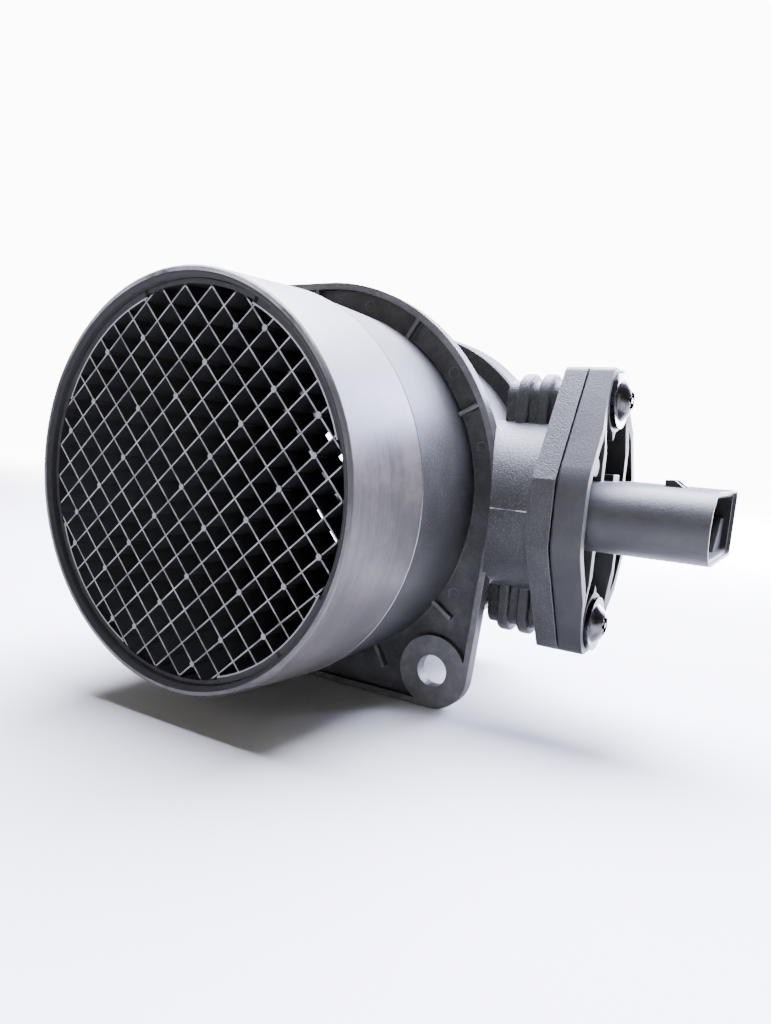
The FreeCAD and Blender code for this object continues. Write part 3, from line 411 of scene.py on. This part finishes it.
def screw_steel():
    look = Look("screw_steel")
    spots = look.noise(700.0, 5.0, 0.6)
    colour = look.mix(look.ramp(spots, 0.35, 0.7), grey(0.035), grey(0.07))
    rough = look.plus(0.14, look.times(spots, 0.14))
    normal = look.bump(spots, 0.05, 0.03 * MM, look.soft_edges(0.2 * MM))
    return look.finish(colour, rough, normal, 1.0)


def dress(material, *names):
    """Gives carried-over nodes their material."""
    for name in names:
        node = NODES[name]
        node.data.materials.clear()
        node.data.materials.append(material)


METAL = 1.0
BOARD_DARK = (0.01, 0.07, 0.03, 1)
BOARD_LIGHT = (0.015, 0.11, 0.05, 1)
CERAMIC_DARK = (0.28, 0.18, 0.1, 1)
CERAMIC_LIGHT = (0.4, 0.28, 0.17, 1)
CAPACITORS = ["capacitor_%d" % index for index in range(1, 4)]
PINS = ["connector_pin_%d" % index for index in range(1, 6)]

dress(housing_plastic(), "housing")
dress(sensor_plastic(), "sensor_body")
dress(grid_plastic(), "inlet_grid")
dress(plain_plastic("lid_plastic", 0.03, 0.4), "electronics_cover", "bypass_cover")
dress(coloured("base_metal", grey(0.5), grey(0.62), 0.35, METAL), "base_plate")
dress(coloured("board_laminate", BOARD_DARK, BOARD_LIGHT, 0.35), "circuit_board", "element_carrier")
dress(plain_plastic("chip_plastic", 0.02, 0.45), "signal_chip")
dress(coloured("capacitor_body", CERAMIC_DARK, CERAMIC_LIGHT, 0.4), *CAPACITORS)
dress(coloured("element_glass", grey(0.12, 0.1), grey(0.2, 0.1), 0.15), "sensing_element")
dress(plain_plastic("seal_rubber", 0.02, 0.5), "o_ring")
dress(coloured("pin_metal", grey(0.55, -0.02), grey(0.7, -0.02), 0.3, METAL), *PINS)
dress(coloured("bead_glass", grey(0.03), grey(0.05), 0.15), "thermistor_bead")
dress(coloured("lead_metal", grey(0.5), grey(0.6), 0.3, METAL), "thermistor_lead_1", "thermistor_lead_2")
dress(screw_steel(), "screw_upper", "screw_lower")

# Camera, at the photograph's viewing angle

IMAGE_LONG_SIDE = 1024.0
FOCAL_PIXELS = 748.9
SENSOR_WIDTH = 36.0
SHIFT = (0.0038, 0.0434)
NEAR_CLIP = 5 * MM
CAMERA_PLACE = Vector((112.4, -152.7, 11.3)) * MM
CAMERA_FORWARD = Vector((-0.509, 0.848, -0.147)).normalized()
CAMERA_UP = Vector((-0.140, 0.087, 0.986))


def photo_camera():
    data = bpy.data.cameras.new("camera")
    data.sensor_width = SENSOR_WIDTH
    data.lens = FOCAL_PIXELS / IMAGE_LONG_SIDE * SENSOR_WIDTH
    data.shift_x, data.shift_y = SHIFT
    data.clip_start = NEAR_CLIP
    camera = bpy.data.objects.new("camera", data)
    bpy.context.collection.objects.link(camera)
    side = CAMERA_FORWARD.cross(CAMERA_UP).normalized()
    up = side.cross(CAMERA_FORWARD)
    turn = Matrix((side, up, -CAMERA_FORWARD)).transposed().to_4x4()
    camera.matrix_world = Matrix.Translation(CAMERA_PLACE) @ turn
    bpy.context.scene.camera = camera


# Floor and soft studio light; the floor glows far off, so that it runs into the white backdrop

FLOOR_Z = HOUSING_LOW.z - 0.2 * MM
FLOOR_HALF = 6.0
FLOOR_COLOUR = (0.44, 0.435, 0.42, 1.0)
FLOOR_ROUGH = 0.9
FAR_FLOOR = 12.0
FAR_START_Y = 0.15
FAR_END_Y = 0.6
SENSOR_SIDE_START_X = 0.1
SENSOR_SIDE_END_X = 0.5
SENSOR_SIDE_DROP = 0.85
AROUND_FLOOR = 3.0
AROUND_START_R = 0.6
AROUND_END_R = 1.5
AMBIENT = 0.36
BACKDROP = 12.0
SKY_FROM_Y = -0.6
SKY_TO_Y = 0.5
SKY_FRONT = (0.5, 0.5, 0.5, 1.0)
SKY_BACK = (0.97, 0.98, 1.0, 1.0)
WHITE = (1.0, 1.0, 1.0, 1.0)
MIDDLE = (0.01, 0.0, 0.0)

# Name, place, width and height in metres, power in watts, colour
LIGHTS = (
    ("top_softbox", (0.0, 0.2, 0.6), 0.7, 0.6, 128.0, (0.76, 0.78, 1.0)),
    ("sky_panel", (0.33, 0.8, 0.38), 0.5, 0.4, 45.0, (0.60, 0.63, 1.0)),
    ("front_fill", (-0.25, -0.9, 0.25), 0.5, 0.5, 2.5, (1.0, 0.98, 0.95)),
    ("back_panel", (0.243, 0.812, 0.05), 0.24, 0.5, 16.0, (1.0, 1.0, 1.0)),
    ("front_strip", (0.75, -0.42, 0.12), 0.2, 0.6, 1.0, (1.0, 0.98, 0.95)),
)


def floor_look():
    look = Look("floor")
    side = look.times(look.ramp(look.x, SENSOR_SIDE_START_X, SENSOR_SIDE_END_X), SENSOR_SIDE_DROP)
    far = look.times(look.ramp(look.y, FAR_START_Y, FAR_END_Y), look.minus(1.0, side), FAR_FLOOR)
    away = look.distance(look.x, look.y)
    around = look.times(look.ramp(away, AROUND_START_R, AROUND_END_R), AROUND_FLOOR)
    look.shader.inputs["Emission Color"].default_value = WHITE
    look.join(look.either(far, around), look.shader.inputs["Emission Strength"])
    return look.finish(FLOOR_COLOUR, FLOOR_ROUGH, specular=0.0)


def stage_floor():
    mesh = bpy.data.meshes.new("floor")
    shape = bmesh.new()
    bmesh.ops.create_grid(shape, x_segments=1, y_segments=1, size=FLOOR_HALF)
    shape.to_mesh(mesh)
    shape.free()
    floor = bpy.data.objects.new("floor", mesh)
    floor.location = (0, 0, FLOOR_Z)
    bpy.context.collection.objects.link(floor)
    mesh.materials.append(floor_look())


def area_light(name, place, width, height, power, colour):
    """A rectangular light that points at the middle of the part."""
    data = bpy.data.lights.new(name, "AREA")
    data.shape = "RECTANGLE"
    data.size = width
    data.size_y = height
    data.energy = power
    data.color = colour
    light = bpy.data.objects.new(name, data)
    light.location = place
    light.rotation_euler = (Vector(MIDDLE) - Vector(place)).to_track_quat("-Z", "Y").to_euler()
    bpy.context.collection.objects.link(light)


def studio_world():
    """Soft light, brighter from behind the part, with a plain white backdrop."""
    world = bpy.data.worlds.new("studio")
    world.use_nodes = True
    nodes = world.node_tree.nodes
    join = world.node_tree.links.new
    lit = nodes["Background"]
    lit.inputs[1].default_value = AMBIENT
    place = nodes.new("ShaderNodeTexCoord")
    axes = nodes.new("ShaderNodeSeparateXYZ")
    join(place.outputs["Generated"], axes.inputs[0])
    front = nodes.new("ShaderNodeMapRange")
    join(axes.outputs[1], front.inputs[0])
    front.inputs[1].default_value = SKY_FROM_Y
    front.inputs[2].default_value = SKY_TO_Y
    sky = nodes.new("ShaderNodeMix")
    sky.data_type = "RGBA"
    join(front.outputs[0], sky.inputs[0])
    sky.inputs[6].default_value = SKY_FRONT
    sky.inputs[7].default_value = SKY_BACK
    join(sky.outputs[2], lit.inputs[0])
    seen = nodes.new("ShaderNodeBackground")
    seen.inputs[0].default_value = WHITE
    seen.inputs[1].default_value = BACKDROP
    path = nodes.new("ShaderNodeLightPath")
    blend = nodes.new("ShaderNodeMixShader")
    join(path.outputs["Is Camera Ray"], blend.inputs[0])
    join(lit.outputs[0], blend.inputs[1])
    join(seen.outputs[0], blend.inputs[2])
    join(blend.outputs[0], nodes["World Output"].inputs[0])
    bpy.context.scene.world = world


photo_camera()
stage_floor()
studio_world()
for light in LIGHTS:
    area_light(*light)
